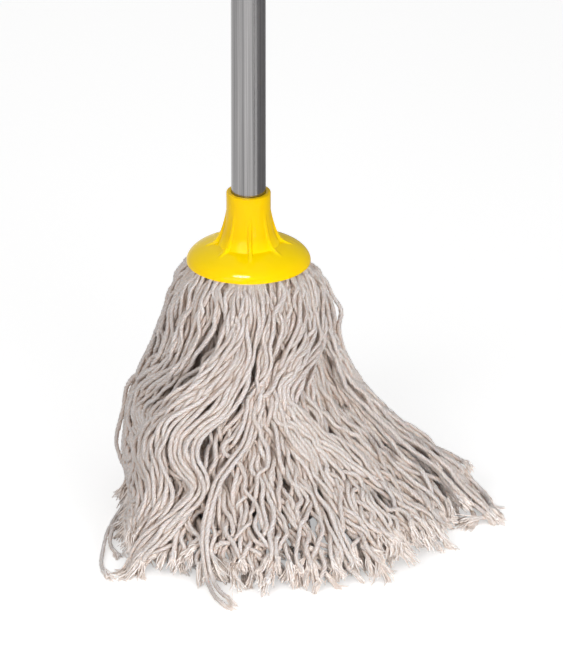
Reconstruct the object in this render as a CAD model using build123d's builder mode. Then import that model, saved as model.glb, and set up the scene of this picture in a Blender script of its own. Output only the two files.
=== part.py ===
# Floor mop: a head of cotton cords in a moulded bell socket, on a push-fit tube handle.
# Millimetres, +Z up. The floor is z = 0 and the handle's axis is x = y = 0.
# The front of the mop is -Y, and its cords are dragged to the right and to the front.
from build123d import *
import os
from math import acos, cos, degrees, hypot, pi, radians, sin, sqrt

os.makedirs("parts", exist_ok=True)

# Handle tube: drawn aluminium, its lower end swaged to a slight taper
tube_od = 25.0
tube_wall = 1.0
handle_length = 1200.0
swage = 0.6
swage_start = 2.0

# Plug in the tube's lower end
plug_flange = 2.5
plug_spigot = 18.0
plug_wall = 2.0

# Hanging cap in the tube's upper end
cap_inset = 0.2
cap_band = 4.0
cap_dome = 7.0
cap_spigot = 30.0
cap_wall = 2.0
tongue_width = 20.0
tongue_thick = 9.0
tongue_round = 1.5
hang_hole = 9.0
hang_hole_rise = 19.0

# Bell socket
rim_height = 190.0
socket_height = 54.0
collar_wall = 3.45
collar_round = 0.8
mouth_flare = 0.4
mouth_depth = 3.0
bell_radius = 45.0
bell_rise = 16.8
bell_wall = 2.5
neck_round = 6.0
rib_count = 8
rib_turn = 3.0
rib_thick = 2.8
rib_round = 0.9
rib_drop = 16.0
rib_run = 17.9
rib_hollow = 4.5
rib_end = 1.1
rib_end_round = 1.0
core_wall = 2.2
core_lift = 6.0
bore_floor = 3.5

# Clamp on the core, and the wire ring that the cords are folded over
clamp_wall = 2.0
clamp_lip = 5.0
clamp_lip_thick = 2.0
snap_bead = 0.8
ring_wire = 3.0

# Cords
tuft_count = 16
cord_size = 3.4
cord_gap = 0.3
layer_gap = 2.6
cord_length = 260.0
tip_spread = 150.0
drag_right = 55.0
drag_front = 40.0
front_right_dip = 50.0
front_left_lobe = 30.0
bow_height = 55.0
wave_size = 6.0
wave_count = 1.5
wave_lobes = 2
layer_step = 0.25
lying_share = 0.7
root_bite = 1.0
straight_root = 4.0
cord_runs = 7
least_turn = 2.0
axis_foot = 12.0
floor_cut = 0.5

# Clearances
fit_gap = 0.15
soft_gap = 0.3

# Where the cords are dragged short and long, as azimuths from +X
dip_azimuth = radians(-50.0)
lobe_azimuth = radians(-147.0)

# Derived sizes and levels
tube_r = tube_od / 2
end_r = tube_r - swage
collar_top = rim_height + socket_height
core_bottom = rim_height + core_lift
bore_bottom = core_bottom + bore_floor
tube_bottom = bore_bottom + plug_flange
tube_top = tube_bottom + handle_length
collar_r = tube_r + fit_gap + collar_wall
core_r = end_r + fit_gap + core_wall
inner_r = bell_radius - bell_wall
inner_rise = bell_rise - bell_wall
clamp_bore_r = core_r + fit_gap
clamp_r = clamp_bore_r + clamp_wall
lip_r = clamp_r + clamp_lip
root_inner_r = clamp_r + soft_gap
root_outer_r = inner_r - soft_gap
root_rise = inner_rise - soft_gap
ring_r = (root_inner_r + root_outer_r) / 2


def quarter_height(r, radius, rise):
    """Height of an elliptical quarter profile at distance r from the axis."""
    return rise * sqrt(1 - (r / radius) ** 2)


def quarter_arc(r, radius, rise):
    """The elliptical profile from the rim up to distance r from the axis."""
    return EllipticalCenterArc((0, rim_height), radius, rise, arc_size=degrees(acos(r / radius)))


clamp_top = rim_height + quarter_height(clamp_r, inner_r, inner_rise) - soft_gap
bead_z = (core_bottom + clamp_top) / 2
ring_z = rim_height + quarter_height(ring_r, root_outer_r, root_rise) / 2

# Handle tube
with BuildPart() as handle_tube:
    with BuildSketch(Plane.XZ):
        with BuildLine():
            Polyline(
                (end_r, tube_bottom),
                (tube_r, collar_top + swage_start),
                (tube_r, tube_top),
                (tube_r - tube_wall, tube_top),
                (tube_r - tube_wall, collar_top + swage_start),
                (end_r - tube_wall, tube_bottom),
                close=True,
            )
        make_face()
    revolve(axis=Axis.Z)

# Plug: a flange under the tube's end, which seats on the bore's floor, and a hollow spigot
plug_r = end_r - tube_wall - fit_gap
with BuildPart() as tube_plug:
    with BuildSketch(Plane.XZ):
        with BuildLine():
            Polyline(
                (0, bore_bottom),
                (end_r, bore_bottom),
                (end_r, tube_bottom),
                (plug_r, tube_bottom),
                (plug_r, tube_bottom + plug_spigot),
                (plug_r - plug_wall, tube_bottom + plug_spigot),
                (plug_r - plug_wall, tube_bottom),
                (0, tube_bottom),
                close=True,
            )
        make_face()
    revolve(axis=Axis.Z)

# Hanging cap: a hollow spigot in the tube, a domed band on its end and a tongue with a hole
spigot_r = tube_r - tube_wall - fit_gap
band_r = tube_r - cap_inset
band_top = tube_top + cap_band
hole_z = tube_top + hang_hole_rise
with BuildPart() as hang_cap:
    with BuildSketch(Plane.XZ):
        with BuildLine():
            Line((0, tube_top), (spigot_r - cap_wall, tube_top))
            Line((spigot_r - cap_wall, tube_top), (spigot_r - cap_wall, tube_top - cap_spigot))
            Line((spigot_r - cap_wall, tube_top - cap_spigot), (spigot_r, tube_top - cap_spigot))
            Line((spigot_r, tube_top - cap_spigot), (spigot_r, tube_top))
            Line((spigot_r, tube_top), (band_r, tube_top))
            Line((band_r, tube_top), (band_r, band_top))
            EllipticalCenterArc((0, band_top), band_r, cap_dome, arc_size=90)
            Line((0, band_top + cap_dome), (0, tube_top))
        make_face()
    revolve(axis=Axis.Z)
    with BuildSketch(Plane.XZ):
        with Locations((0, (band_top + hole_z) / 2)):
            Rectangle(tongue_width, hole_z - band_top)
        with Locations((0, hole_z)):
            Circle(tongue_width / 2)
    extrude(amount=tongue_thick / 2, both=True)
    tongue_sides = hang_cap.faces().filter_by(Axis.Y)
    fillet(tongue_sides.edges().group_by(Axis.Z)[-1], tongue_round)
    with Locations(Plane.XZ.offset(-tongue_thick)):
        with Locations((0, hole_z)):
            Hole(hang_hole / 2)

# One gusset rib of the socket, later placed all round the neck
rib_reach = collar_r + rib_run
rib_top = collar_top - rib_drop
rib_foot = rim_height + quarter_height(rib_reach, bell_radius, bell_rise)
with BuildPart() as rib:
    with BuildSketch(Plane.XZ) as rib_side:
        with BuildLine():
            crest = SagittaArc((collar_r, rib_top), (rib_reach, rib_foot + rib_end), -rib_hollow)
            Polyline(crest @ 1, (rib_reach, rib_foot), (0, rim_height), (0, rib_top), crest @ 0)
        make_face()
        rib_nose = rib_side.vertices().sort_by_distance(crest @ 1)[0]
        fillet(rib_nose, rib_end_round)
    extrude(amount=rib_thick / 2, both=True)
    fillet(rib.edges().filter_by(GeomType.CIRCLE), rib_round)

# Bell socket: solid outside and ribs first, then the cavity for the cords and the bore
with BuildPart() as socket:
    with BuildSketch(Plane.XZ) as outside:
        with BuildLine():
            Line((0, rim_height), (bell_radius, rim_height))
            bell_line = quarter_arc(collar_r, bell_radius, bell_rise)
            Polyline(bell_line @ 1, (collar_r, collar_top), (0, collar_top), (0, rim_height))
        make_face()
        neck_corner = outside.vertices().sort_by_distance(bell_line @ 1)[0]
        fillet(neck_corner, neck_round)
    revolve(axis=Axis.Z)
    fillet(socket.edges().group_by(Axis.Z)[-1], collar_round)
    with PolarLocations(0, rib_count, rib_turn):
        add(rib.part)
    with BuildSketch(Plane.XZ):
        with BuildLine():
            Line((0, rim_height), (inner_r, rim_height))
            cavity_line = quarter_arc(core_r, inner_r, inner_rise)
            Polyline(cavity_line @ 1, (core_r, core_bottom), (0, core_bottom), (0, rim_height))
        make_face()
    revolve(axis=Axis.Z, mode=Mode.SUBTRACT)
    with BuildSketch(Plane.XZ):
        with BuildLine():
            Polyline(
                (0, bore_bottom),
                (end_r + fit_gap, bore_bottom),
                (end_r + fit_gap, tube_bottom),
                (tube_r + fit_gap, collar_top - mouth_depth),
                (tube_r + fit_gap + mouth_flare, collar_top),
                (0, collar_top),
                close=True,
            )
        make_face()
    revolve(axis=Axis.Z, mode=Mode.SUBTRACT)
    with Locations((0, 0, bead_z)):
        Torus(clamp_bore_r, snap_bead + fit_gap, mode=Mode.SUBTRACT)

# Clamp: a sleeve that snaps on the core, with a lip under the roots of the cords
with BuildPart() as yarn_clamp:
    lip_top = rim_height - soft_gap
    with BuildSketch(Plane.XZ):
        with BuildLine():
            Polyline(
                (clamp_bore_r, lip_top - clamp_lip_thick),
                (lip_r, lip_top - clamp_lip_thick),
                (lip_r, lip_top),
                (clamp_r, lip_top),
                (clamp_r, clamp_top),
                (clamp_bore_r, clamp_top),
                close=True,
            )
        make_face()
    revolve(axis=Axis.Z)
    with Locations((0, 0, bead_z)):
        Torus(clamp_bore_r, snap_bead)

# Wire ring, inside the fold of every tuft
with BuildPart() as yarn_ring:
    with Locations((0, 0, ring_z)):
        Torus(ring_r, ring_wire / 2)

# Layers of cords, from the rim inwards
outer_layer_r = root_outer_r - soft_gap - cord_size / 2
layer_pitch = cord_size + layer_gap
layer_count = 1 + int((outer_layer_r - lip_r - soft_gap - cord_size / 2) / layer_pitch)
lying_height = cord_size / 2 - floor_cut
tuft_turn = 2 * pi / tuft_count
root_side = soft_gap / root_inner_r


def tip_point(azimuth):
    """Where a cord of the outer layer ends on the floor."""
    dip = front_right_dip * max(0, cos(azimuth - dip_azimuth)) ** 2
    lobe = front_left_lobe * max(0, cos(azimuth - lobe_azimuth)) ** 4
    spread = tip_spread - dip + lobe
    return Vector(spread * cos(azimuth) + drag_right, spread * sin(azimuth) - drag_front)


def add_point(points, point):
    """Adds a point to a line, and drops the points before it where the line hardly turns."""
    while len(points) > 1 and (points[-1] - points[-2]).get_angle(point - points[-1]) < least_turn:
        points.pop()
    points.append(point)


def cord_line(azimuth, root_r, offset, bow, lying, wave):
    """One cord from its root to its tip: down out of the bell, bowed by its slack, then on the floor."""
    outward = Vector(cos(azimuth), sin(azimuth))
    sideways = Vector(-offset.Y, offset.X).normalized()
    root = outward * root_r
    top = root + Vector(0, 0, rim_height - straight_root)
    bend = root + outward * bow + Vector(0, 0, bow_height)
    tip = root + offset + Vector(0, 0, lying_height)
    landing = tip - offset.normalized() * lying
    points = [root + Vector(0, 0, rim_height + root_bite)]
    for run in range(cord_runs + 1):
        t = run / cord_runs
        ripple = wave * sin(pi * t) * sin(2 * pi * wave_count * t + wave_lobes * azimuth)
        curve = top * (1 - t) ** 2 + bend * 2 * t * (1 - t) + landing * t**2
        add_point(points, curve + sideways * ripple)
    add_point(points, tip)
    return points


def cord_solid(azimuth, points):
    """A square cord along its line, cut flat where it lies on the floor."""
    with BuildLine() as route:
        Polyline(*points)
    side = (-sin(azimuth), cos(azimuth), 0)
    with BuildSketch(Plane(origin=points[0], x_dir=side, z_dir=(0, 0, -1))) as section:
        Rectangle(cord_size, cord_size)
    with BuildPart() as cord:
        sweep(section.sketch, route.line, transition=Transition.RIGHT)
        split(bisect_by=Plane.XY, keep=Keep.TOP)
    return cord.part


# Tufts: each a wedge of folded cord inside the bell, with its cords hanging from it.
# One inner cord of the first tuft has its foot under the handle's axis.
tufts = []
for number in range(tuft_count):
    start = number * tuft_turn + root_side / 2
    cords = []
    for layer in range(layer_count):
        root_r = outer_layer_r - layer * layer_pitch
        share = 1 - layer * layer_step
        width = (tuft_turn - root_side) * root_r
        count = int(width / (cord_size + cord_gap))
        for place in range(count):
            azimuth = start + (place + 0.5) * width / count / root_r
            outward = Vector(cos(azimuth), sin(azimuth))
            reach = tip_point(azimuth) - outward * outer_layer_r
            slack = cord_length - hypot(reach.length, rim_height)
            lying = reach.length * layer_step * lying_share
            points = cord_line(azimuth, root_r, reach * share, slack * share, lying, wave_size * share)
            if number == 0 and layer == layer_count - 1 and place == 0:
                points = cord_line(azimuth, root_r, outward * -(root_r + axis_foot / 2), 0, axis_foot, 0)
            cords.append(cord_solid(azimuth, points))
    side_plane = Plane(
        origin=(0, 0, 0), x_dir=(cos(start), sin(start), 0), z_dir=(sin(start), -cos(start), 0)
    )
    with BuildPart() as tuft:
        with BuildSketch(side_plane):
            with BuildLine():
                Line((root_inner_r, rim_height), (root_outer_r, rim_height))
                root_line = quarter_arc(root_inner_r, root_outer_r, root_rise)
                Line(root_line @ 1, (root_inner_r, rim_height))
            make_face()
            with Locations((ring_r, ring_z)):
                Circle(ring_wire / 2 + soft_gap, mode=Mode.SUBTRACT)
        revolve(axis=Axis.Z, revolution_arc=degrees(tuft_turn - root_side))
        add(cords)
    tuft.part.label = f"yarn_tuft_{number + 1:02d}"
    tufts.append(tuft.part)

socket.part.label = "socket"
yarn_clamp.part.label = "yarn_clamp"
yarn_ring.part.label = "yarn_ring"
handle_tube.part.label = "handle_tube"
tube_plug.part.label = "tube_plug"
hang_cap.part.label = "hang_cap"

export_step(socket.part, "parts/socket.step")
export_step(yarn_clamp.part, "parts/yarn_clamp.step")
export_step(yarn_ring.part, "parts/yarn_ring.step")
export_step(handle_tube.part, "parts/handle_tube.step")
export_step(tube_plug.part, "parts/tube_plug.step")
export_step(hang_cap.part, "parts/hang_cap.step")
for tuft_part in tufts:
    export_step(tuft_part, f"parts/{tuft_part.label}.step")
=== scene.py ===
import bpy
import numpy as np
from math import cos, pi, radians, sin
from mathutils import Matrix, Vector


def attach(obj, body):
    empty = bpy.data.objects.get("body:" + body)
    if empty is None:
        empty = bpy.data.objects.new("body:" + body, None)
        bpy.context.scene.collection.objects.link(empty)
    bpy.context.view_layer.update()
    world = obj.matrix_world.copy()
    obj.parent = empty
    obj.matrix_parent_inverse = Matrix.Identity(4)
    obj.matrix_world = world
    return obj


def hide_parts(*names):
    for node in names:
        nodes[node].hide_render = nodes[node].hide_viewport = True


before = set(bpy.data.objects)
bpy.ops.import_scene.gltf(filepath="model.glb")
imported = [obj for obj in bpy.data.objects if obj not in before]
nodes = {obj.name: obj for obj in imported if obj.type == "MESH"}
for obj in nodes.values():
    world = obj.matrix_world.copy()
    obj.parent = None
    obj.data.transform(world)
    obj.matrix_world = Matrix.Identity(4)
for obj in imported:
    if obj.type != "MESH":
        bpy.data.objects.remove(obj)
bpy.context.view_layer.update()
scene = bpy.context.scene
scene.view_settings.view_transform = "Standard"


# Camera. It stands straight in front of the mop and looks down on it through a long lens, so
# that upright lines stay parallel. The picture takes in the head and the foot of the handle.
view_rise = radians(23.6)
view_distance = 8.0
view_height = 0.4717
view_aim = Vector((0.0238, 0.0, 0.1383))
view_limit = 200.0

camera_lens = bpy.data.cameras.new("camera")
camera_lens.lens = camera_lens.sensor_width * view_distance / view_height
camera_lens.clip_end = view_limit
camera = bpy.data.objects.new("camera", camera_lens)
towards_camera = Vector((0.0, -cos(view_rise), sin(view_rise)))
camera.location = view_aim + towards_camera * view_distance
camera.rotation_euler = (-towards_camera).to_track_quat("-Z", "Y").to_euler()
scene.collection.objects.link(camera)
scene.camera = camera


# Studio. A wide white floor runs into a white surround. A soft box hangs at the left, a low lamp
# on the right fills the fringe, and a small one puts the highlight on the bell. A grey card and a
# dark strip show only as reflections, and give the bright tube its dark side.
floor_size = 80.0
floor_white = (0.82, 0.82, 0.82, 1.0)
floor_glow = 0.46
surround_fill = 0.67
surround_white = 1.0
soft_box_size = (1.1, 0.8)
soft_box_place = Vector((-0.75, -1.45, 1.05))
soft_box_watts = 11.5
low_fill_size = (1.6, 0.4)
low_fill_place = Vector((0.75, -1.5, 0.25))
low_fill_watts = 2.35
low_fill_spread = radians(45)
fringe_middle = Vector((0.05, -0.12, 0.0))
shine_size = (0.85, 0.45)
shine_place = Vector((-0.34, -1.05, 1.80))
shine_watts = 4.2
shine_spread = radians(30)
head_middle = Vector((0.03, -0.03, 0.12))
card_grey = (0.46, 0.46, 0.47, 1.0)
strip_dark = (0.16, 0.16, 0.16, 1.0)
card_height = 0.9
grey_edges = (Vector((0.36, -0.22, 0.0)), Vector((0.02, 0.60, 0.0)))
dark_edges = (Vector((0.37, -0.485, 0.0)), Vector((0.41, -0.45, 0.0)))


def flat_sheet(name, corners):
    sheet_mesh = bpy.data.meshes.new(name)
    sheet_mesh.from_pydata(corners, [], [tuple(range(len(corners)))])
    sheet = bpy.data.objects.new(name, sheet_mesh)
    scene.collection.objects.link(sheet)
    return sheet


def new_material(name):
    made = bpy.data.materials.new(name)
    made.use_nodes = True
    made.node_tree.nodes.clear()
    return made, made.node_tree


def surface(tree, node):
    shown = tree.nodes.new("ShaderNodeOutputMaterial")
    tree.links.new(node.outputs[0], shown.inputs["Surface"])


def seen_by(tree, first, *others):
    ray = tree.nodes.new("ShaderNodeLightPath")
    found = ray.outputs[first]
    for other in others:
        either = tree.nodes.new("ShaderNodeMath")
        either.operation = "MAXIMUM"
        tree.links.new(found, either.inputs[0])
        tree.links.new(ray.outputs[other], either.inputs[1])
        found = either.outputs[0]
    return found


def between(tree, share, low, high):
    reach = tree.nodes.new("ShaderNodeMapRange")
    reach.inputs["To Min"].default_value = low
    reach.inputs["To Max"].default_value = high
    tree.links.new(share, reach.inputs["Value"])
    return reach.outputs["Result"]


half_floor = floor_size / 2
studio_floor = flat_sheet("studio_floor", [
    (-half_floor, -half_floor, 0.0), (half_floor, -half_floor, 0.0),
    (half_floor, half_floor, 0.0), (-half_floor, half_floor, 0.0)])
floor_paint, tree = new_material("floor_paint")
paint = tree.nodes.new("ShaderNodeBsdfDiffuse")
paint.inputs["Color"].default_value = floor_white
glow = tree.nodes.new("ShaderNodeEmission")
seen = seen_by(tree, "Is Camera Ray", "Is Glossy Ray")
tree.links.new(between(tree, seen, 0.0, floor_glow), glow.inputs["Strength"])
both = tree.nodes.new("ShaderNodeAddShader")
tree.links.new(paint.outputs[0], both.inputs[0])
tree.links.new(glow.outputs[0], both.inputs[1])
surface(tree, both)
studio_floor.data.materials.append(floor_paint)

surround = bpy.data.worlds.new("surround")
surround.use_nodes = True
scene.world = surround
tree = surround.node_tree
tree.nodes.clear()
white = tree.nodes.new("ShaderNodeBackground")
seen = seen_by(tree, "Is Camera Ray", "Is Glossy Ray", "Is Transmission Ray")
tree.links.new(between(tree, seen, surround_fill, surround_white), white.inputs["Strength"])
tree.links.new(white.outputs[0], tree.nodes.new("ShaderNodeOutputWorld").inputs["Surface"])


def hang_lamp(name, size, place, watts, aim, spread):
    lamp_light = bpy.data.lights.new(name, "AREA")
    lamp_light.shape = "RECTANGLE"
    lamp_light.size, lamp_light.size_y = size
    lamp_light.energy = watts
    lamp_light.spread = spread
    lamp = bpy.data.objects.new(name, lamp_light)
    lamp.location = place
    lamp.rotation_euler = (aim - place).to_track_quat("-Z", "Y").to_euler()
    lamp.visible_camera = False
    scene.collection.objects.link(lamp)
    return lamp


hang_lamp("soft_box", soft_box_size, soft_box_place, soft_box_watts, head_middle, pi)
shine = hang_lamp("shine", shine_size, shine_place, shine_watts, head_middle, shine_spread)
shine.visible_diffuse = False
low_fill = hang_lamp("low_fill", low_fill_size, low_fill_place, low_fill_watts, fringe_middle,
                     low_fill_spread)
low_fill.visible_glossy = False


def stand_card(name, edges, grey):
    top = Vector((0.0, 0.0, card_height))
    card = flat_sheet(name, [edges[0], edges[1], edges[1] + top, edges[0] + top])
    card_paint, tree = new_material(name)
    paint = tree.nodes.new("ShaderNodeBsdfDiffuse")
    paint.inputs["Color"].default_value = grey
    surface(tree, paint)
    card.data.materials.append(card_paint)
    card.visible_camera = False
    card.visible_diffuse = False
    card.visible_shadow = False
    card.visible_transmission = False


stand_card("grey_card", grey_edges, card_grey)
stand_card("dark_strip", dark_edges, strip_dark)


# Handle tube. A drawn aluminium tube, left bright, with the fine lengthwise lines of the die.
# Its lower end is drawn down slightly and pushed into the socket.
tube_light = (0.37, 0.36, 0.36, 1.0)
tube_dark = (0.15, 0.148, 0.15, 1.0)
broad_lines = 330.0
fine_lines = 1300.0
line_detail = 2.0
line_stretch = (1.0, 1.0, 0.004)
fine_share = 0.55
line_tones = (0.30, 0.62)
line_relief = (0.2, 0.0001)
tube_roughness = (0.14, 0.30)


def shader(tree, **values):
    finish = tree.nodes.new("ShaderNodeBsdfPrincipled")
    for socket, value in values.items():
        finish.inputs[socket.replace("_", " ")].default_value = value
    surface(tree, finish)
    return finish


def grain(tree, scale, detail=3.0, stretch=(1.0, 1.0, 1.0)):
    place = tree.nodes.new("ShaderNodeTexCoord")
    spread = tree.nodes.new("ShaderNodeMapping")
    spread.inputs["Scale"].default_value = stretch
    tree.links.new(place.outputs["Object"], spread.inputs["Vector"])
    noise = tree.nodes.new("ShaderNodeTexNoise")
    noise.inputs["Scale"].default_value = scale
    noise.inputs["Detail"].default_value = detail
    tree.links.new(spread.outputs[0], noise.inputs["Vector"])
    return noise.outputs["Fac"]


def two_tone(tree, share, first, second, low=0.35, high=0.65):
    ramp = tree.nodes.new("ShaderNodeValToRGB")
    ramp.color_ramp.elements[0].position = low
    ramp.color_ramp.elements[0].color = first
    ramp.color_ramp.elements[1].position = high
    ramp.color_ramp.elements[1].color = second
    tree.links.new(share, ramp.inputs["Fac"])
    return ramp.outputs["Color"]


def relief(tree, height, strength, depth):
    bump = tree.nodes.new("ShaderNodeBump")
    bump.inputs["Strength"].default_value = strength
    bump.inputs["Distance"].default_value = depth
    tree.links.new(height, bump.inputs["Height"])
    return bump.outputs["Normal"]


def dress(node, material):
    nodes[node].data.materials.clear()
    nodes[node].data.materials.append(material)


drawn_tube, tree = new_material("drawn_tube")
finish = shader(tree, Metallic=1.0)
broad = grain(tree, broad_lines, line_detail, line_stretch)
fine = grain(tree, fine_lines, line_detail, line_stretch)
mixed_lines = tree.nodes.new("ShaderNodeMix")
mixed_lines.inputs["Factor"].default_value = fine_share
tree.links.new(broad, mixed_lines.inputs["A"])
tree.links.new(fine, mixed_lines.inputs["B"])
die_lines = mixed_lines.outputs["Result"]
tree.links.new(two_tone(tree, die_lines, tube_dark, tube_light, *line_tones), finish.inputs["Base Color"])
tree.links.new(between(tree, fine, *tube_roughness), finish.inputs["Roughness"])
tree.links.new(relief(tree, die_lines, *line_relief), finish.inputs["Normal"])
dress("handle_tube", drawn_tube)


# Socket and hang cap. Both are moulded in the same glossy yellow plastic. The socket's collar
# holds the tube, its neck flares into the bell with eight low ribs run out on it, and its core
# has the blind bore for the tube's foot. The cap closes the tube's top end. Sizes in millimetres.
millimetre = 0.001
rim_height = 190.0
bell_radius = 45.0
bell_rise = 16.8
bell_wall = 2.5
collar_radius = 16.1
collar_top = 244.0
core_radius = 14.25
core_bottom = 196.0
bore_bottom = 199.5
foot_top = 202.0
bore_foot = 12.05
bore_mouth = 12.65
bead_height = 199.45
bead_radius = 0.95
bead_ring = 14.4
bead_steps = (-0.95, -0.6, 0.0, 0.6, 0.95)
rib_count = 8
rib_turn = 3.0
rib_offsets = (-1.75, -1.45, -1.15, -0.8, 0.0, 0.8, 1.15, 1.45, 1.75)
rib_shares = (0.0, 0.18, 0.75, 0.97, 1.0, 0.97, 0.75, 0.18, 0.0)
panel_columns = 9
inside_steps = 24
outside_steps = 28
sharp_edge = radians(40)


def bell_height(out):
    return rim_height + bell_rise * (1 - (out / bell_radius) ** 2) ** 0.5


def bell_curve(radius, rise, inner, steps):
    turn = np.linspace(0.0, np.arccos(inner / radius), steps)
    return [(radius * cos(t), rim_height + rise * sin(t)) for t in turn]


# Profiles, as distance from the axis and height: the neck between the ribs and the crest of a rib,
# down to the bell, and the collar up over its rounded mouth into the bore. On the bell, the steps
# carry the ribs on until they run out.
neck_profile = ((collar_radius, 230.0), (16.25, 226.5), (16.8, 222.0), (17.7, 217.5), (18.8, 213.4),
                (20.0, 210.0), (21.3, 207.2))
crest_profile = ((collar_radius, 230.0), (16.7, 226.5), (17.7, 222.0), (18.9, 217.5), (20.3, 213.4),
                 (21.9, 209.9), (23.6, 207.3))
collar_profile = ((collar_radius, 236.0), (collar_radius, 243.2), (15.87, 243.77), (15.3, collar_top),
                  (13.05, collar_top), (12.78, 243.88), (bore_mouth, 243.5), (bore_foot, foot_top),
                  (bore_foot, bore_bottom))
foot_steps = (22.75, 25.5, 28.3, 30.5, 32.0)
crest_steps = (25.4, 27.4, 29.4, 31.0, 32.0)
crest_rises = (1.7, 1.0, 0.6, 0.3, 0.0)
foot = [(out, bell_height(out)) for out in foot_steps]
crest_foot = [(out, bell_height(out) + rise) for out, rise in zip(crest_steps, crest_rises)]
bead_groove = [(bead_ring - (bead_radius ** 2 - (bead_radius * step) ** 2) ** 0.5,
                bead_height + bead_radius * step) for step in bead_steps]
inside = ([(core_radius, core_bottom)] + bead_groove
          + bell_curve(bell_radius - bell_wall, bell_rise - bell_wall, core_radius, inside_steps)[::-1])
outside = bell_curve(bell_radius, bell_rise, foot_steps[-1], outside_steps)
profile = np.array(inside + outside + foot[-2::-1] + list(neck_profile[::-1] + collar_profile))
raised = np.array(inside + outside + crest_foot[-2::-1] + list(crest_profile[::-1] + collar_profile))

rib_columns = len(rib_offsets) + panel_columns
rib_pitch = 2 * pi / rib_count
rows = []
for base, top in zip(profile, raised):
    edge = rib_offsets[-1] / base[0]
    near = np.array(rib_offsets) / base[0]
    panel = np.linspace(edge, rib_pitch - edge, panel_columns + 2)[1:-1]
    angles = np.concatenate([rib * rib_pitch + np.concatenate((near, panel)) for rib in range(rib_count)])
    share = np.tile(np.concatenate((rib_shares, np.zeros(panel_columns))), rib_count)[:, None]
    angles = angles + radians(rib_turn)
    out, up = (base + share * (top - base)).T
    rows.append(np.stack([out * np.cos(angles), out * np.sin(angles), up], axis=1))
columns = rib_count * rib_columns
faces = [tuple(range(columns))[::-1], tuple(range((len(rows) - 1) * columns, len(rows) * columns))]
for row in range(len(rows) - 1):
    for column in range(columns):
        after = (column + 1) % columns
        faces.append((row * columns + column, row * columns + after,
                      (row + 1) * columns + after, (row + 1) * columns + column))
socket_mesh = bpy.data.meshes.new("bell_socket")
socket_mesh.from_pydata(np.concatenate(rows) * millimetre, [], faces)
socket_mesh.polygons.foreach_set("use_smooth", np.ones(len(faces), bool))
socket_mesh.set_sharp_from_angle(angle=sharp_edge)
bell_socket = bpy.data.objects.new("bell_socket", socket_mesh)
scene.collection.objects.link(bell_socket)
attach(bell_socket, "mop_head")
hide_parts("socket")

# The yellow is painted darker towards the bell's rim and up the collar than on the crown: painted shade, set
# against the stronger light of the lamps there.
shaded_yellow_rim = (0.96, 0.62, 0.0, 1.0)
yellow_crown = (1.0, 0.72, 0.0, 1.0)
shaded_yellow_collar = (0.865, 0.547, 0.0, 1.0)
crown_share = 0.54
collar_foot = 214.0
flow_scale = 38.0
skin_scale = 420.0
skin_relief = (0.04, 0.0002)
yellow_roughness = (0.05, 0.10)

yellow_moulding, tree = new_material("yellow_moulding")
finish = shader(tree, Specular_IOR_Level=0.1)
flow_marks = grain(tree, flow_scale)
place = tree.nodes.new("ShaderNodeTexCoord")
height = tree.nodes.new("ShaderNodeSeparateXYZ")
tree.links.new(place.outputs["Object"], height.inputs[0])
up_socket = tree.nodes.new("ShaderNodeMapRange")
up_socket.inputs["From Min"].default_value = rim_height * millimetre
up_socket.inputs["From Max"].default_value = collar_foot * millimetre
tree.links.new(height.outputs["Z"], up_socket.inputs["Value"])
painted_shade_by_height = tree.nodes.new("ShaderNodeValToRGB")
painted_shade_by_height.color_ramp.elements[0].color = shaded_yellow_rim
painted_shade_by_height.color_ramp.elements[1].color = shaded_yellow_collar
painted_shade_by_height.color_ramp.elements.new(crown_share).color = yellow_crown
tree.links.new(up_socket.outputs["Result"], painted_shade_by_height.inputs["Fac"])
tree.links.new(painted_shade_by_height.outputs["Color"], finish.inputs["Base Color"])
tree.links.new(between(tree, flow_marks, *yellow_roughness), finish.inputs["Roughness"])
tree.links.new(relief(tree, grain(tree, skin_scale, detail=2.0), *skin_relief), finish.inputs["Normal"])
socket_mesh.materials.append(yellow_moulding)
dress("hang_cap", yellow_moulding)


# Tube plug and yarn clamp. Plain grey mouldings inside the socket: one closes the tube's foot,
# the other snaps on the socket's core and holds the cords' roots up in the bell.
grey_light = (0.33, 0.33, 0.34, 1.0)
grey_dark = (0.25, 0.25, 0.26, 1.0)
grey_flow_scale = 60.0
grey_skin_scale = 900.0
grey_skin_relief = (0.15, 0.0002)
grey_roughness = (0.45, 0.65)

grey_moulding, tree = new_material("grey_moulding")
finish = shader(tree)
flow_marks = grain(tree, grey_flow_scale, detail=4.0)
tree.links.new(two_tone(tree, flow_marks, grey_dark, grey_light), finish.inputs["Base Color"])
tree.links.new(between(tree, flow_marks, *grey_roughness), finish.inputs["Roughness"])
grey_skin = grain(tree, grey_skin_scale, detail=2.0)
tree.links.new(relief(tree, grey_skin, *grey_skin_relief), finish.inputs["Normal"])
dress("tube_plug", grey_moulding)
dress("yarn_clamp", grey_moulding)


# Yarn ring. A ring of galvanised steel wire, bent round and butted. The cords are folded over it,
# and the clamp below them holds it up in the bell.
wire_bright = (0.62, 0.62, 0.60, 1.0)
wire_dull = (0.40, 0.40, 0.40, 1.0)
spangle_scale = 500.0
spangle_relief = (0.2, 0.0001)
wire_roughness = (0.30, 0.55)

galvanised_wire, tree = new_material("galvanised_wire")
finish = shader(tree, Metallic=1.0)
spangle = grain(tree, spangle_scale)
tree.links.new(two_tone(tree, spangle, wire_dull, wire_bright), finish.inputs["Base Color"])
tree.links.new(between(tree, spangle, *wire_roughness), finish.inputs["Roughness"])
tree.links.new(relief(tree, spangle, *spangle_relief), finish.inputs["Normal"])
dress("yarn_ring", galvanised_wire)


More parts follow.
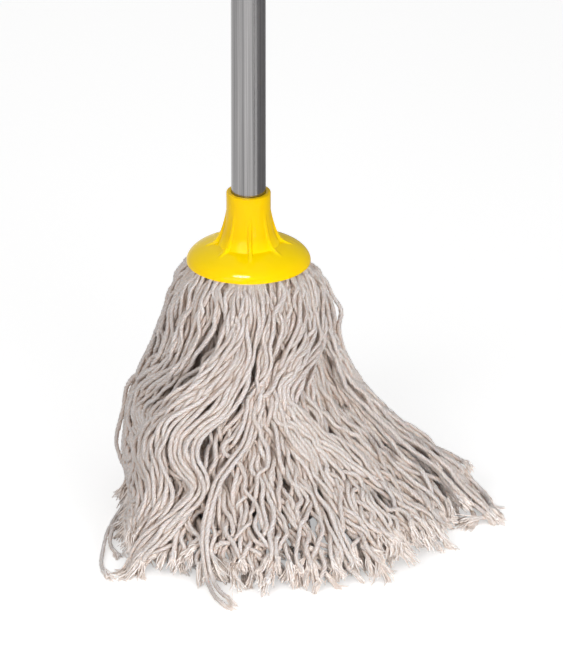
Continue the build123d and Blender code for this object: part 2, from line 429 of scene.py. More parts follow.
# Yarn cords. Sixteen tufts of soft cotton cord, spun from several plies and folded over the ring
# in the bell. They fall over each other in loose curtains and end in frayed, cut tips. Sizes are
# millimetres, but the curtains are drawn by points measured across and down the picture.
tuft_count = 16
layer_cords = (52, 48, 70, 66, 60)
layer_ring = (40.3, 37.0, 33.7, 30.4, 27.1)
layer_depth = (0.0, 3.5, 9.0, 14.0, 20.0)
outer_layers = 2
cord_radius = 1.75
root_radius = 1.55
tip_radius = 1.75
root_height = 193.0
root_splay = 1.0
root_drop = 1.5
yarn_top = 189.0
rim_radius = 43.0
shoulder_height = 181.0
cord_points = 84
points_held = 4
way_down = np.linspace(0, 1, cord_points)[:, None]

# Where the picture shows the mop's axis and the floor below it, in pixels, and the millimetres that
# a pixel spans.
picture_axis = 248.65
picture_floor = 500.5
picture_scale = 0.7246
height_step = 0.5

# How far the tips reach from the axis, by compass angle: 0 is right, -90 is the front. The yarn
# flares like a skirt where its bulge is 0, and swells out and drops straight where it is 1.
reach_angles = (-180, -150, -128, -118, -105, -90, -70, -48, -30, -20, -12, 0, 20, 45, 90, 135)
reach_sizes = (88, 100, 146, 152, 152, 164, 169, 175, 165, 155, 184, 172, 142, 120, 106, 94)
bulge_angles = (-180, -135, -90, -45, 0, 90, 135)
bulge_shares = (1.0, 0.55, 0.1, 0.0, 0.0, 0.75, 1.0)
fall_steps = (0.0, 0.05, 0.10, 0.2, 0.36, 0.5, 0.63, 0.745, 0.86, 1.0)
flare_steps = (0.0, 0.037, 0.062, 0.085, 0.145, 0.24, 0.40, 0.60, 0.84, 1.0)
bulge_steps = (0.0, 0.10, 0.24, 0.315, 0.534, 0.787, 0.94, 0.99, 0.90, 0.90)


def head_radius(angle, height):
    reach = np.interp(angle, reach_angles, reach_sizes, period=360)
    bulge = np.interp(angle, bulge_angles, bulge_shares, period=360)
    fall = np.clip((yarn_top - height) / yarn_top, 0.0, 1.0)
    out = (1 - bulge) * np.interp(fall, fall_steps, flare_steps)
    out = out + bulge * np.interp(fall, fall_steps, bulge_steps)
    return rim_radius + (reach - rim_radius) * out


def on_head(u, v):
    across = (u - picture_axis) * picture_scale
    up = (picture_floor - v) * picture_scale
    height = np.arange(yarn_top, cord_radius, -height_step)
    front = (height * cos(view_rise) - up) / sin(view_rise)
    gap = np.hypot(across, front) - head_radius(np.degrees(np.arctan2(-front, across)), height)
    inside = np.nonzero(gap <= 0)[0]
    at = inside[0] if len(inside) else np.argmin(gap)
    return across, -front[at], height[at]


# The curtains of the front half, from the left edge round to the right edge. Each starts with its
# angle from the front centre, how far it stands out over its neighbours, and how sharply it parts
# from the next.
front_curtains = (
    (-90, 0, 0.5, (167, 286), (163, 310), (158, 330), (148, 350), (139, 372), (127, 388), (121, 415),
     (118, 442), (124, 462), (126, 482), (128, 500), (132, 515), (138, 527), (141, 535)),
    (-72, 2, 0.7, (180, 292), (176, 315), (177, 338), (171, 357), (152, 372), (137, 388), (130, 411),
     (128, 440), (134, 470), (138, 495), (134, 512), (128, 525), (124, 540)),
    (-52, 0, 0.7, (198, 295), (187, 319), (182, 340), (171, 362), (151, 381), (140, 400), (138, 425),
     (143, 455), (148, 480), (143, 503), (136, 522), (134, 540), (136, 552)),
    (-35, 1, 0.5, (212, 292), (204, 319), (197, 340), (187, 362), (171, 380), (153, 393), (142, 410),
     (142, 435), (150, 460), (160, 482), (160, 503), (150, 523), (140, 540), (134, 556)),
    (-24, 3, 1.0, (228, 310), (217, 332), (203, 353), (190, 371), (169, 386), (152, 400), (144, 420),
     (147, 445), (158, 470), (170, 488), (166, 505), (152, 525), (140, 543), (131, 560)),
    (-9, 3, 0.5, (239, 318), (232, 336), (226, 352), (214, 368), (206, 385), (188, 398), (172, 410),
     (160, 425), (158, 445), (170, 466), (188, 482), (193, 496), (180, 513), (162, 531), (146, 550),
     (134, 568)),
    (0, 3, 0.4, (246, 325), (244, 348), (237, 367), (225, 386), (209, 401), (187, 413), (170, 428),
     (166, 447), (178, 464), (196, 478), (205, 489), (201, 502), (184, 519), (166, 537), (150, 556),
     (142, 572)),
    (10, 3, 0.4, (256, 325), (255, 350), (249, 367), (238, 384), (226, 398), (206, 412), (188, 427),
     (182, 447), (192, 463), (204, 480), (210, 494), (203, 512), (190, 532), (176, 552), (168, 573)),
    (20, 3, 0.5, (267, 325), (266, 356), (262, 378), (253, 396), (240, 413), (222, 427), (207, 445),
     (206, 465), (212, 480), (214, 500), (208, 525), (200, 550), (196, 576)),
    (32, 3, 0.8, (275, 314), (273, 342), (269, 363), (266, 388), (260, 408), (248, 428), (232, 450),
     (220, 472), (216, 495), (222, 520), (232, 548), (236, 585)),
    (42, 0, 0.9, (284, 315), (281, 340), (275, 362), (270, 385), (268, 405), (264, 430), (262, 455),
     (266, 480), (268, 510), (266, 540), (266, 584)),
    (52, 4, 0.9, (296, 315), (294, 335), (284, 350), (276, 368), (273, 388), (272, 408), (280, 432),
     (292, 455), (305, 481), (319, 500), (332, 520), (336, 540), (334, 562), (330, 583)),
    (64, 6, 0.6, (308, 300), (312, 325), (310, 343), (298, 361), (284, 378), (279, 392), (283, 412),
     (300, 436), (320, 457), (345, 478), (365, 498), (385, 520), (400, 545), (405, 562)),
    (76, 4, 0.7, (318, 297), (320, 325), (318, 345), (307, 362), (294, 378), (289, 393), (296, 412),
     (315, 433), (340, 450), (372, 470), (400, 486), (425, 505), (448, 522), (470, 530)),
    (90, 0, 0.5, (328, 290), (331, 310), (331, 327), (337, 348), (346, 373), (357, 390), (371, 402),
     (392, 419), (419, 438), (439, 450), (468, 470), (491, 496), (505, 525)),
)
ring_spread = 150.0
drag_right = 40.0
drag_front = 38.0
drop_start = 12.0
drop_steps = 15
sink_rate = 4.0
surface_from = 1.8
gather_rate = 5.0
drop_softening = 6
curtain_softening = 8
drawn_softening = 3
back_part = 0.6
back_angles = (20, 45, 70, 95, 120, 145, 165)
back_turn = (4, 6, 4, 0, 4, 2, -4)


def run_along(line):
    return np.concatenate(([0.0], np.cumsum(np.linalg.norm(np.diff(line, axis=0), axis=1))))


def along(line, count):
    line = np.asarray(line, float)
    runs = run_along(line)
    at = np.linspace(0.0, runs[-1], count)
    return np.stack([np.interp(at, runs, column) for column in line.T], axis=1)


def softened(line, passes):
    for _ in range(passes):
        line[1:-1] = (line[:-2] + 2 * line[1:-1] + line[2:]) / 4
    return line


def moved_out(line, distance):
    line[:, :2] *= 1 + distance / np.hypot(line[:, 0], line[:, 1])[:, None]
    return line


def root_at(angle, ring, height):
    return ring * cos(radians(angle)), ring * sin(radians(angle)), height


def from_bell(angle):
    shoulder = head_radius(angle, shoulder_height) - cord_radius
    return [root_at(angle, layer_ring[0], root_height),
            root_at(angle, layer_ring[0] + root_splay, yarn_top - root_drop),
            root_at(angle, shoulder, shoulder_height)]


def drawn_line(angle, drawn, softening):
    points = from_bell(angle) + [on_head(u, v) for u, v in drawn]
    return softened(along(points, cord_points), softening)


def drop_line(angle, turn, depth, share_out=1.0, surfacing=0.0):
    tip_x = ring_spread * cos(radians(angle)) + drag_right
    tip_y = ring_spread * sin(radians(angle)) - drag_front
    turn += (np.degrees(np.arctan2(tip_y, tip_x)) - angle + 180) % 360 - 180
    points = from_bell(angle)
    for height in np.linspace(shoulder_height - drop_start, tip_radius, drop_steps):
        share = 1 - height / yarn_top
        now = angle + turn * share
        out = rim_radius + (head_radius(now, height) - rim_radius) * share_out
        sunk = min(1.0, share * sink_rate)
        sunk *= 1 - surfacing * np.clip(share * sink_rate - surface_from, 0, 1)
        points.append(root_at(now, out - depth * sunk, height))
    return softened(along(points, cord_points), drop_softening)


curtain_angles = []
curtain_parts = []
curtain_lines = []
for from_front, lift, part, *drawn in front_curtains:
    angle = from_front - 90
    line = moved_out(drawn_line(angle, drawn, curtain_softening), lift * np.sin(pi * way_down))
    curtain_angles.append(angle)
    curtain_parts.append(part)
    curtain_lines.append(line)
for angle, turn in zip(back_angles, back_turn):
    curtain_angles.append(angle)
    curtain_parts.append(back_part)
    curtain_lines.append(drop_line(angle, turn, 0.0))
curtain_angles = np.array(curtain_angles, float)
curtain_lines = np.array(curtain_lines)


def curtain_at(angle):
    angle = (angle + 180) % 360 - 180
    after = np.searchsorted(curtain_angles, angle) % len(curtain_angles)
    before = (after - 1) % len(curtain_angles)
    gap = (curtain_angles[after] - curtain_angles[before]) % 360
    share = ((angle - curtain_angles[before]) % 360) / gap
    gathered = share - curtain_parts[before] * np.sin(2 * pi * share) / (2 * pi)
    share = share + (gathered - share) * np.clip(np.linspace(0, gather_rate, cord_points), 0, 1)[:, None]
    return (1 - share) * curtain_lines[before] + share * curtain_lines[after]


# Waves of the single cords, which start below the bell and grow towards the tip.
cord_seed = 41
wave_sizes = (0.3, 1.4)
wave_lengths = (0.8, 1.25)
flatter = (1.0, 1.0, 0.5)
still_root = 15.0
root_sway = 0.8
chance = np.random.default_rng(cord_seed)


def sway(line, waves):
    run = run_along(line)[:, None]
    push = np.zeros_like(line)
    for length, size in waves:
        turn = chance.uniform(0, 2 * pi, 3)
        size = size * chance.uniform(*wave_sizes, 3) * flatter
        push += size * np.sin(2 * pi * run / (length * chance.uniform(*wave_lengths)) + turn)
    return push * np.clip(run / still_root, 0, 1) * (root_sway + (run / run[-1]) ** 3)


def turned(line, degrees):
    turn = np.radians(degrees)
    x = line[:, 0] * np.cos(turn) - line[:, 1] * np.sin(turn)
    y = line[:, 0] * np.sin(turn) + line[:, 1] * np.cos(turn)
    return np.stack([x, y, line[:, 2]], axis=1)


# Partings, where the picture shows dark gaps. The outer cords stand aside there and the ones below
# lie deeper. Each starts with how far it opens to either side.
partings = (
    (5.2, (229, 318), (220, 334), (206, 356), (193, 374), (174, 387), (166, 392)),
    (3.8, (262, 323), (258, 342), (253, 358), (246, 378), (235, 396)),
    (2.8, (190, 321), (181, 334)),
    (2.6, (262, 398), (264, 424)),
    (1.6, (222, 446), (234, 440)),
    (1.6, (201, 446), (197, 463)),
    (3.0, (158, 503), (151, 518)),
    (3.0, (196, 513), (188, 533)),
    (3.3, (331, 396), (342, 405)),
    (3.8, (366, 412), (383, 422)),
    (4.0, (368, 437), (389, 452)),
    (3.5, (415, 448), (433, 457)),
    (3.5, (413, 461), (432, 473)),
    (3.5, (330, 471), (344, 480)),
    (3.8, (353, 482), (381, 493)),
    (3.3, (436, 476), (451, 486)),
)
parting_points = 24
parting_fade = 2
parting_depth = 9.0
front_limit = 30.0
picture_up = np.array((0.0, sin(view_rise), cos(view_rise)))


def parted(line, outer):
    seen = np.stack([picture_axis + line[:, 0] / picture_scale,
                     picture_floor - line @ picture_up / picture_scale], axis=1)
    for opening, *drawn in partings:
        path = along(drawn, parting_points)
        ahead = np.gradient(path, axis=0)
        aside = np.stack([-ahead[:, 1], ahead[:, 0]], axis=1) / np.linalg.norm(ahead, axis=1, keepdims=True)
        away = seen[:, None] - path
        gap = np.linalg.norm(away, axis=2)
        near = gap.argmin(axis=1)
        fade = np.exp(-(gap.min(axis=1) / (parting_fade * opening)) ** 2) * (line[:, 1] < front_limit)
        if outer:
            side = np.sign((fade * (away[np.arange(len(line)), near] * aside[near]).sum(axis=1)).sum())
            push = side * opening * picture_scale * fade[:, None] * aside[near]
            line = line + push[:, :1] * np.array((1.0, 0.0, 0.0)) - push[:, 1:] * picture_up
        else:
            line = line - parting_depth * fade[:, None] * np.array(towards_camera)
    return line


# Five layers of cords hang from the ring. The outer two follow the curtains and gather in locks,
# which swing together. The inner ones drop under them, and extra cords come out from below in the
# front, at the back and on the right.
lock_width = (13.0, 24.0)
lock_gather = 0.36
lock_taper = 0.7
lock_lift = 2.2
lock_waves = ((110, 3.0), (60, 1.4))
outer_waves = ((120, 2.2), (62, 2.8), (34, 1.6), (17, 0.65))
inner_waves = ((120, 3.5), (64, 3.4), (36, 1.6), (17, 0.55))
tangle_waves = ((110, 3.4), (64, 3.2), (34, 1.5), (17, 0.45))
cord_uneven = 0.2
root_cross = 6.0
cross_fade = 3.5
root_fade = 6.0
tangle_angles = (-120, -48)
tangle_out = (0.90, 1.03)
under_out = (0.80, 1.0)
core_out = (0.15, 0.75)
drop_turn = 7.0
calm_angles = (-180, -140, -118, -60, -40, 0, 40, 180)
calm_shares = (0.6, 0.6, 1.0, 1.0, 0.5, 0.45, 0.6, 0.6)
front_under = (-170, 10)
front_more = 46
back_under = (10, 180)
back_more = 18
right_over = (-50, 16)
right_more = 6
right_swing = 5.0
right_rise = (1.6, 0.4)
follow_share = 0.35
surface_rise = (4.0, 1.4)
stray_share = 0.15
stray_swing = (10, 26)
stray_rise = (1.8, 0.6)
tip_curl = 6.0
curl_rise = (5.0, 4.0)
tip_cut = 3.0
tip_uneven = 13.0
proud = 3.0


def rising(rate, start):
    return np.clip(way_down * rate - start, 0, 1)


def fading(rate):
    return np.clip(1 - way_down * rate, 0, 1)


def tuft_of(angle):
    return int((angle + 180) // (360 / tuft_count)) % tuft_count


lock_edges = [-180.0]
while lock_edges[-1] < 180:
    lock_edges.append(lock_edges[-1] + chance.uniform(*lock_width))
locks = []
for start, end in zip(lock_edges[:-1], lock_edges[1:]):
    middle = curtain_at((start + end) / 2)
    locks.append((middle, sway(middle, lock_waves), chance.normal(0, lock_lift)))


def outer_cord(angle):
    middle, lock_sway, lift = locks[min(np.searchsorted(lock_edges, angle), len(locks)) - 1]
    line = curtain_at(angle)
    line = line + lock_gather * np.sin(pi * way_down) ** lock_taper * (middle - line)
    line = line + lock_sway + sway(line, outer_waves)
    line = turned(line, chance.normal(0, root_cross) * fading(cross_fade)[:, 0])
    return moved_out(line, lift * np.sin(pi * way_down))


def inner_cord(angle, layer, extra, calm):
    depth = layer_depth[layer]
    tangled = tangle_angles[0] < angle < tangle_angles[1]
    if extra and not tangled and chance.uniform() < follow_share:
        line = curtain_at(angle)
        line = line + sway(line, outer_waves)
        return moved_out(line, -depth * (1 - rising(*surface_rise)))
    core = layer == len(layer_cords) - 1 and not extra
    share_out = chance.uniform(*(core_out if core else tangle_out if tangled else under_out))
    line = drop_line(angle, chance.normal(0, drop_turn), depth, share_out, float(extra))
    return line + calm * sway(line, tangle_waves if extra else inner_waves)


def loose_tip(line, angle, calm):
    if right_over[0] < angle < right_over[1]:
        line = turned(line, chance.normal(0, right_swing) * rising(*right_rise)[:, 0])
    line = line + calm * chance.normal(0, tip_curl, 3) * flatter * rising(*curl_rise) ** 2
    stray = chance.uniform() < stray_share
    swing = chance.uniform(*stray_swing) * chance.choice((-1, 1))
    if stray:
        line = turned(line, swing * rising(*stray_rise)[:, 0])
    return line, stray


def kept_on_head(line, layer, stray):
    near_root = fading(root_fade)
    flat = np.hypot(line[:, 0], line[:, 1])
    most = head_radius(np.degrees(np.arctan2(line[:, 1], line[:, 0])), line[:, 2]) + proud
    inward = layer_depth[layer] if layer < outer_layers and not stray else 0.0
    inward = np.maximum(inward, flat - most)[:, None]
    line[:, :2] *= 1 - inward * (1 - near_root) / flat[:, None]
    line[:, :2] *= 1 - (1 - layer_ring[layer] / layer_ring[0]) * near_root
    return parted(line, layer < outer_layers)


def cut_to_length(line):
    run = np.linalg.norm(np.diff(line, axis=0), axis=1).sum()
    cut = 1 - (tip_cut + chance.uniform(0, tip_uneven)) / run
    return along(line[:int(cord_points * cut)], cord_points)


cord_lines = []
cord_tufts = []
for layer, cords in enumerate(layer_cords):
    places = [i + 0.5 * (layer % 2) + chance.uniform(-cord_uneven, cord_uneven) for i in range(cords)]
    spread = [-180 + 360 * place / cords for place in places]
    if layer >= outer_layers:
        spread += list(chance.uniform(*front_under, front_more))
        spread += list(chance.uniform(*back_under, back_more))
    if layer == 1:
        spread += list(chance.uniform(*right_over, right_more))
    for i, angle in enumerate(spread):
        calm = np.interp(angle, calm_angles, calm_shares)
        if layer < outer_layers:
            line = outer_cord(angle)
        else:
            line = inner_cord(angle, layer, i >= cords, calm)
        line, stray = loose_tip(line, angle, calm)
        cord_lines.append(cut_to_length(kept_on_head(line, layer, stray)))
        cord_tufts.append(tuft_of(angle))

# Single cords that stand out: the long one at the front, the left one, and a loop on the right.
single_cords = (
    (-76, 9, (262, 320), (262, 350), (258, 385), (252, 420), (244, 444), (230, 461), (216, 478),
     (211, 497), (205, 520), (203, 542), (205, 562), (208, 579), (216, 594), (228, 602)),
    (-74, 9, (266, 320), (266, 350), (262, 385), (256, 420), (248, 446), (234, 464), (221, 480),
     (215, 498), (209, 520), (207, 542), (209, 561), (213, 577), (222, 590), (235, 598)),
    (-160, 0, (176, 300), (168, 330), (160, 360), (146, 385), (131, 410), (124, 440), (130, 470),
     (128, 490), (124, 505), (115, 519), (107, 534), (104, 548), (102, 560), (104, 569), (111, 574)),
    (-156, 0, (180, 300), (172, 330), (164, 360), (150, 385), (135, 410), (130, 440), (138, 468),
     (136, 488), (129, 504), (120, 517), (112, 530), (108, 541), (113, 549), (122, 555)),
    (-176, 0, (172, 286), (165, 309), (151, 344), (140, 370), (129, 381), (124, 391), (126, 402),
     (121, 420), (116, 434), (116, 445), (122, 454), (128, 472), (136, 500), (144, 520)),
    (6, 0, (330, 296), (334, 318), (335, 338), (340, 354), (352, 379), (372, 402), (394, 420), (420, 438),
     (441, 450), (461, 461), (472, 467)),
    (2, 0, (325, 280), (328, 290), (333, 299), (340, 306), (342, 314), (338, 322), (336, 332),
     (343, 350), (356, 376), (376, 402), (400, 424), (420, 444), (440, 466)),
)

# Three bundles that lie over the rest, each drawn by its two edges. The first sweeps to the left,
# turns back and runs out straight, the second goes on down the left side, and the third makes the
# long tip on the right.
drawn_bundles = (
    (7, (-94, -80), 9,
     ((240, 335), (233, 358), (222, 380), (206, 397), (190, 410), (178, 424), (171, 440), (171, 456),
      (178, 470), (188, 479), (195, 486), (190, 494), (176, 506), (160, 520), (147, 534), (134, 552),
      (128, 569)),
     ((260, 330), (257, 360), (250, 384), (239, 403), (227, 418), (212, 429), (201, 440), (196, 451),
      (198, 462), (204, 472), (208, 485), (204, 496), (192, 509), (178, 524), (164, 541), (151, 558),
      (141, 570))),
    (11, (-110, -94), 9,
     ((232, 324), (228, 342), (215, 361), (200, 377), (181, 392), (163, 405), (149, 418), (141, 434),
      (139, 454), (144, 474), (148, 493), (143, 511), (137, 527), (134, 543)),
     ((241, 330), (236, 354), (225, 376), (209, 394), (192, 407), (177, 420), (167, 434), (163, 450),
      (166, 468), (172, 485), (173, 501), (163, 516), (151, 531), (143, 547))),
    (4, (-4, -16), 0,
     ((326, 300), (329, 322), (334, 342), (353, 376), (383, 406), (419, 434), (452, 460), (481, 488),
      (505, 515)),
     ((318, 308), (322, 330), (328, 350), (345, 386), (374, 418), (409, 447), (441, 475), (469, 503),
      (493, 523))),
)
single_start = 0.4
bundle_start = 0.0
bundle_places = (0.2, 0.8)
bundle_sway = 0.9
bundle_calm = 0.8
lift_rate = 4.0


def towards_eye(line, lift, start):
    rise = np.sqrt(np.sin(pi * way_down)) * np.clip((way_down - start) * lift_rate, 0, 1)
    return line + lift * rise * np.array(towards_camera)


for angle, lift, *drawn in single_cords:
    line = drawn_line(angle, drawn, drawn_softening)
    cord_lines.append(towards_eye(line, lift, single_start))
    cord_tufts.append(tuft_of(angle))
for count, angles, lift, left_edge, right_edge in drawn_bundles:
    for share in (np.arange(count) + chance.uniform(*bundle_places, count)) / count:
        angle = angles[0] + share * (angles[1] - angles[0])
        drawn = (1 - share) * np.array(left_edge) + share * np.array(right_edge)
        line = towards_eye(drawn_line(angle, drawn, drawn_softening), lift, bundle_start)
        cord_lines.append(line + bundle_sway * (1 - bundle_calm * way_down) * sway(line, outer_waves))
        cord_tufts.append(tuft_of(angle))
drawn_count = len(single_cords) + sum(count for count, *_ in drawn_bundles)
cord_lines = np.array(cord_lines)


# Settling. The drawn cords are pushed apart where they touch, kept at their lengths and laid on
# the floor, in small steps, so that each rests on its neighbours.
settle_steps = 150
first_pull = 0.10
last_pull = 0.004
pull_ease = 1.5
list_every = 3
list_margin = 0.8
push_share = 0.30
even_share = 0.25
length_passes = 3
bound_share = 0.5
rim_clear = 1.0
own_points = 4
least_gap = 1e-6
cell_middle = 4096
cell_span = 8192
thick_places = (0.05, 0.3, 1.0)
thick_sizes = (root_radius, cord_radius, tip_radius)


def touching(points, owner, place, reach):
    cell = np.floor(points / reach).astype(np.int64) + cell_middle
    key = (cell[:, 0] * cell_span + cell[:, 1]) * cell_span + cell[:, 2]
    order = np.argsort(key, kind="stable")
    sorted_key = key[order]
    firsts, seconds = [], []
    for dx in (-1, 0, 1):
        for dy in (-1, 0, 1):
            for dz in (-1, 0, 1):
                step = (dx * cell_span + dy) * cell_span + dz
                if step < 0:
                    continue
                low = np.searchsorted(sorted_key, key + step, "left")
                high = np.searchsorted(sorted_key, key + step, "right")
                counts = high - low
                a = np.repeat(np.arange(len(points)), counts)
                shift = np.arange(counts.sum()) - np.repeat(np.cumsum(counts) - counts, counts)
                b = order[np.repeat(low, counts) + shift]
                keep = (a < b) if step == 0 else np.ones(len(a), bool)
                firsts.append(a[keep])
                seconds.append(b[keep])
    a, b = np.concatenate(firsts), np.concatenate(seconds)
    apart = (owner[a] != owner[b]) | (np.abs(place[a] - place[b]) > own_points)
    a, b = a[apart], b[apart]
    near = ((points[a] - points[b]) ** 2).sum(1) < reach ** 2
    return a[near], b[near]


def settle(lines, free):
    goal = lines.copy()
    lines = lines.copy()
    count, size, _ = lines.shape
    run = np.linalg.norm(np.diff(lines, axis=1), axis=2)
    owner = np.repeat(np.arange(count), size)
    place = np.tile(np.arange(size), count)
    thick = np.interp(place / (size - 1), thick_places, thick_sizes)
    held = lines[:, :points_held].copy()
    for step in range(settle_steps):
        pull = first_pull * (1 - step / settle_steps) ** pull_ease + last_pull
        lines += pull * (goal - lines)
        if step % list_every == 0:
            a, b = touching(lines.reshape(-1, 3), owner, place, 2 * tip_radius + list_margin)
        points = lines.reshape(-1, 3)
        apart = points[a] - points[b]
        gap = np.maximum(np.linalg.norm(apart, axis=1), least_gap)
        need = np.maximum(thick[a] + thick[b] - gap, 0.0)
        push = apart * (push_share * need / gap)[:, None]
        for i in range(3):
            points[:, i] += np.bincount(a, push[:, i], len(points)) - np.bincount(b, push[:, i], len(points))
        lines = points.reshape(count, size, 3)
        moved = lines - goal
        lines[:, 1:-1] += even_share * ((moved[:, :-2] + moved[:, 2:]) / 2 - moved[:, 1:-1])
        lines[:, :points_held] = held
        for _ in range(length_passes):
            for start in (0, 1):
                first, second = lines[:, start:size - 1:2], lines[:, start + 1:size:2]
                span = second - first
                length = np.maximum(np.linalg.norm(span, axis=2, keepdims=True), least_gap)
                move = 0.5 * span * (1 - run[:, start::2, None] / length)
                lines[:, start:size - 1:2] += move
                lines[:, start + 1:size:2] -= move
            lines[:, :points_held] = held
        lines[:, :, 2] = np.maximum(lines[:, :, 2], cord_radius)
        low = lines[:, points_held:]
        low[:, :, 2] = np.minimum(low[:, :, 2], yarn_top - rim_clear)
        bound = low[:-free]
        flat = np.hypot(bound[:, :, 0], bound[:, :, 1])
        most = head_radius(np.degrees(np.arctan2(bound[:, :, 1], bound[:, :, 0])), bound[:, :, 2]) + proud
        bound[:, :, :2] *= 1 - bound_share * (np.maximum(flat - most, 0.0) / flat)[:, :, None]
    return lines


cord_lines = settle(cord_lines, drawn_count)


# Cord meshes. Each cord is a tube with the soft lobes of its plies, turned along its length, and
# its cut end opens into a brush of loose plies.
ply_count = 4
ply_depth = 0.05
ply_groove = 0.16
ply_pitch = (13.0, 18.0)
slub = 0.07
slub_lengths = ((6, 12), (15, 30))
lint = 0.06
any_phase = 6.0
tip_share = 0.3
tip_taper = 6.0
side_hint = (0.31, 0.95, 0.05)
cord_sides = 12
cord_rings = 100
brush_plies = 16
brush_length = (6.0, 11.0)
long_brush = (13.0, 17.0)
long_share = 0.12
brush_hold = 5.0
brush_ring = -3
brush_aim_ring = -6
least_side = 1e-9
brush_fan = (0.05, 0.30)
brush_bend = (0.35, 0.15)
brush_curl = 0.14
ply_places = (0.02, 1.0)
ply_root = 0.8
ply_reach = (0.7, 1.1)
ply_opening = 1.3
ply_waves = (0.6, 0.5)
ply_point = 0.7
ply_sag = 2.0
brush_radius = 0.52
brush_sides = 4
brush_rings = 6
in_groove = np.arange(cord_sides) % (cord_sides // ply_count) == 0


def smooth_line(line, count):
    at = np.linspace(0, len(line) - 1 - least_gap, count)
    i = at.astype(int)
    t = (at - i)[:, None]
    padded = np.concatenate(([2 * line[0] - line[1]], line, [2 * line[-1] - line[-2]]))
    p0, p1, p2, p3 = padded[i], padded[i + 1], padded[i + 2], padded[i + 3]
    return 0.5 * (2 * p1 + (p2 - p0) * t + (2 * p0 - 5 * p1 + 4 * p2 - p3) * t ** 2
                  + (3 * p1 - p0 - 3 * p2 + p3) * t ** 3)


def cord_frames(line):
    ahead = np.gradient(line, axis=0)
    ahead /= np.linalg.norm(ahead, axis=1, keepdims=True)
    side = np.zeros_like(ahead)
    side[0] = np.cross(ahead[0], side_hint)
    for k in range(len(line)):
        if k:
            side[k] = side[k - 1] - ahead[k] * np.dot(side[k - 1], ahead[k])
        side[k] /= np.linalg.norm(side[k])
    return side, np.cross(ahead, side)


def tube_mesh(line, radii, sides, turn):
    side, other = cord_frames(line)
    around = np.linspace(0, 2 * pi, sides, endpoint=False)
    angle = around[None, :] + turn[:, None]
    rows = (line[:, None] + radii[:, :, None] * (np.cos(angle)[..., None] * side[:, None]
                                                  + np.sin(angle)[..., None] * other[:, None]))
    rings = len(line)
    k, j = np.meshgrid(np.arange(rings - 1), np.arange(sides), indexing="ij")
    n = (j + 1) % sides
    quads = np.stack([k * sides + j, k * sides + n, (k + 1) * sides + n, (k + 1) * sides + j], -1)
    rim = np.arange(sides)
    loops = np.concatenate((quads.ravel(), rim[::-1], rim + (rings - 1) * sides))
    sizes = np.concatenate((np.full(quads.size // 4, 4), (sides, sides)))
    return rows.reshape(-1, 3), loops, sizes


def cord_mesh(line):
    line = smooth_line(line, cord_rings)
    length = run_along(line)
    left = length[-1] - length
    slubs = 1
    for lengths in slub_lengths:
        slubs = slubs + slub * np.sin(length / chance.uniform(*lengths) + chance.uniform(0, any_phase))
    size = np.interp(length / length[-1], thick_places, thick_sizes) * slubs
    size = size * np.clip(tip_share + left / tip_taper, tip_share, 1.0)
    rim = np.where(in_groove, 1 - ply_groove, 1 + ply_depth)
    fuzz = 1 + lint * chance.normal(0, 1, (cord_rings, cord_sides))
    radii = size[:, None] * rim[None, :] * fuzz
    turn = 2 * pi * length / chance.uniform(*ply_pitch) + chance.uniform(0, any_phase)
    return tube_mesh(line, radii, cord_sides, turn), line


def brush_mesh(line):
    tip = line[brush_ring]
    ahead = line[-1] - line[brush_aim_ring]
    ahead /= np.linalg.norm(ahead)
    side = np.cross(ahead, (0, 0, 1.0))
    side /= np.linalg.norm(side) + least_side
    other = np.cross(side, ahead)
    fan = chance.uniform(*brush_fan)
    bend = side * chance.normal(0, brush_bend[0]) + other * chance.normal(0, brush_bend[1])
    reach = chance.uniform(*(long_brush if chance.uniform() < long_share else brush_length))
    t = np.linspace(0, 1, brush_rings)[:, None]
    plies = []
    for _ in range(brush_plies):
        turn = chance.uniform(0, 2 * pi)
        off = np.sqrt(chance.uniform(*ply_places))
        out = side * cos(turn) + other * sin(turn)
        start = tip + out * tip_radius * ply_root * off - ahead * brush_hold
        far = reach * chance.uniform(*ply_reach)
        ply = start + ahead * (far + brush_hold) * t
        ply = ply + out * fan * off * far * t ** ply_opening
        ply = ply + bend * far * t ** 2
        wave = chance.normal(0, ply_waves[0], 3) * np.sin(pi * t)
        ply += wave + chance.normal(0, ply_waves[1], 3) * np.sin(2 * pi * t)
        ply += chance.normal(0, brush_curl, 3) * far * t ** 2
        size = np.full(brush_rings, brush_radius)
        size[-1] *= ply_point
        ply[:, 2] = np.maximum(ply[:, 2] - ply_sag * t[:, 0] ** 2, size)
        radii = np.repeat(size[:, None], brush_sides, 1)
        plies.append(tube_mesh(ply, radii, brush_sides, np.zeros(brush_rings)))
    return plies


# Cotton colours. Where other cords lie close, ambient occlusion mixes in a warmer colour: painted warm shade
# in the crevices between cords.
cotton_light = (0.74, 0.70, 0.69, 1.0)
cotton_warm = (0.59, 0.523, 0.49, 1.0)
cotton_crevice_shade = (0.74, 0.60, 0.51, 1.0)
cut_light = (0.98, 0.94, 0.925, 1.0)
cut_warm = (0.79, 0.705, 0.655, 1.0)
cut_crevice_shade = (0.86, 0.74, 0.655, 1.0)
crevice_shade_reach = 0.010
crevice_shade_rays = 6
crevice_shade_shares = (-0.3, 1.35)
cord_glow = 0.25
glow_reach = 0.0025
glow_spread = (1.0, 0.8, 0.65)
fleck_scale = 1000.0
fleck_share = 1.8
fuzz_scale = 900.0
fuzz_relief = (0.8, 0.0009)
cord_tones = (0.35, 1.0)
# How far the ply grooves are painted darker: painted shade in the grooves.
painted_groove_shade = 0.7
loose_tones = (-1.1, 0.6)


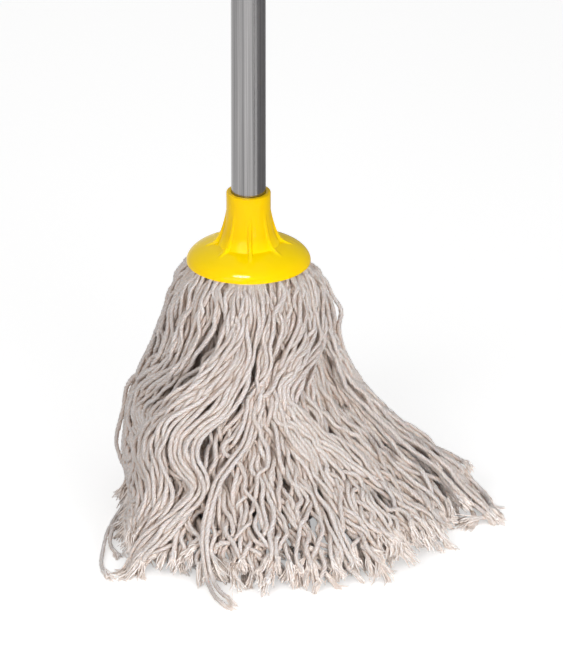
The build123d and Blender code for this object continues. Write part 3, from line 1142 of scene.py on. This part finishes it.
def cotton_finish(name, light, warm, crevice_shade, glow):
    made, tree = new_material(name)
    finish = shader(tree, Roughness=1.0, Sheen_Weight=0.2, Sheen_Roughness=0.5, Specular_IOR_Level=0.05,
                    Subsurface_Weight=glow, Subsurface_Scale=glow_reach, Subsurface_Radius=glow_spread)
    tone = tree.nodes.new("ShaderNodeAttribute")
    tone.attribute_name = "cord_tone"
    fleck = between(tree, grain(tree, fleck_scale, detail=2.0), -fleck_share, fleck_share)
    flecked = tree.nodes.new("ShaderNodeMath")
    tree.links.new(tone.outputs["Fac"], flecked.inputs[0])
    tree.links.new(fleck, flecked.inputs[1])
    cord_colour = two_tone(tree, flecked.outputs[0], warm, light, 0.0, 1.0)
    # Painted shade: ambient occlusion tints the crevices between cords warm.
    crevice_occlusion = tree.nodes.new("ShaderNodeAmbientOcclusion")
    crevice_occlusion.samples = crevice_shade_rays
    crevice_occlusion.inputs["Distance"].default_value = crevice_shade_reach
    painted_crevice_shade = tree.nodes.new("ShaderNodeMix")
    painted_crevice_shade.data_type = "RGBA"
    painted_crevice_shade.inputs["A"].default_value = crevice_shade
    tree.links.new(between(tree, crevice_occlusion.outputs["AO"], *crevice_shade_shares), painted_crevice_shade.inputs["Factor"])
    tree.links.new(cord_colour, painted_crevice_shade.inputs["B"])
    tree.links.new(painted_crevice_shade.outputs["Result"], finish.inputs["Base Color"])
    tree.links.new(relief(tree, grain(tree, fuzz_scale, detail=2.0), *fuzz_relief), finish.inputs["Normal"])
    return made


cotton = cotton_finish("cotton", cotton_light, cotton_warm, cotton_crevice_shade, cord_glow)
frayed_cotton = cotton_finish("frayed_cotton", cut_light, cut_warm, cut_crevice_shade, 0.0)

for tuft in range(tuft_count):
    verts, loops, sizes, tones, finishes = [], [], [], [], []
    base = 0
    for cord in np.nonzero(np.array(cord_tufts) == tuft)[0]:
        body, line = cord_mesh(cord_lines[cord])
        cord_tone = chance.uniform(*cord_tones)
        for is_loose, (points, corners, counts) in [(0, body)] + [(1, ply) for ply in brush_mesh(line)]:
            verts.append(points)
            loops.append(corners + base)
            sizes.append(counts)
            # The cord_tone attribute holds each cord's random tone, lowered along the ply grooves as painted
            # shade.
            groove_shade_by_point = 0.0 if is_loose else painted_groove_shade * np.tile(in_groove, cord_rings)
            shade = chance.uniform(*loose_tones) if is_loose else 0.0
            tones.append(np.full(len(points), cord_tone + shade) - groove_shade_by_point)
            finishes.append(np.full(len(counts), is_loose))
            base += len(points)
    verts, loops, sizes = np.concatenate(verts) * millimetre, np.concatenate(loops), np.concatenate(sizes)
    verts[:, 2] = np.maximum(verts[:, 2], 0.0)
    name = f"cords_{tuft + 1:02d}"
    mesh = bpy.data.meshes.new(name)
    mesh.vertices.add(len(verts))
    mesh.vertices.foreach_set("co", verts.ravel())
    mesh.loops.add(len(loops))
    mesh.loops.foreach_set("vertex_index", loops)
    mesh.polygons.add(len(sizes))
    mesh.polygons.foreach_set("loop_start", np.cumsum(sizes) - sizes)
    mesh.update(calc_edges=True)
    mesh.polygons.foreach_set("use_smooth", np.ones(len(sizes), bool))
    mesh.attributes.new("cord_tone", "FLOAT", "POINT").data.foreach_set("value", np.concatenate(tones))
    mesh.materials.append(cotton)
    mesh.materials.append(frayed_cotton)
    mesh.polygons.foreach_set("material_index", np.concatenate(finishes))
    piece = bpy.data.objects.new(name, mesh)
    scene.collection.objects.link(piece)
    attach(piece, "mop_head")
    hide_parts(f"yarn_tuft_{tuft + 1:02d}")
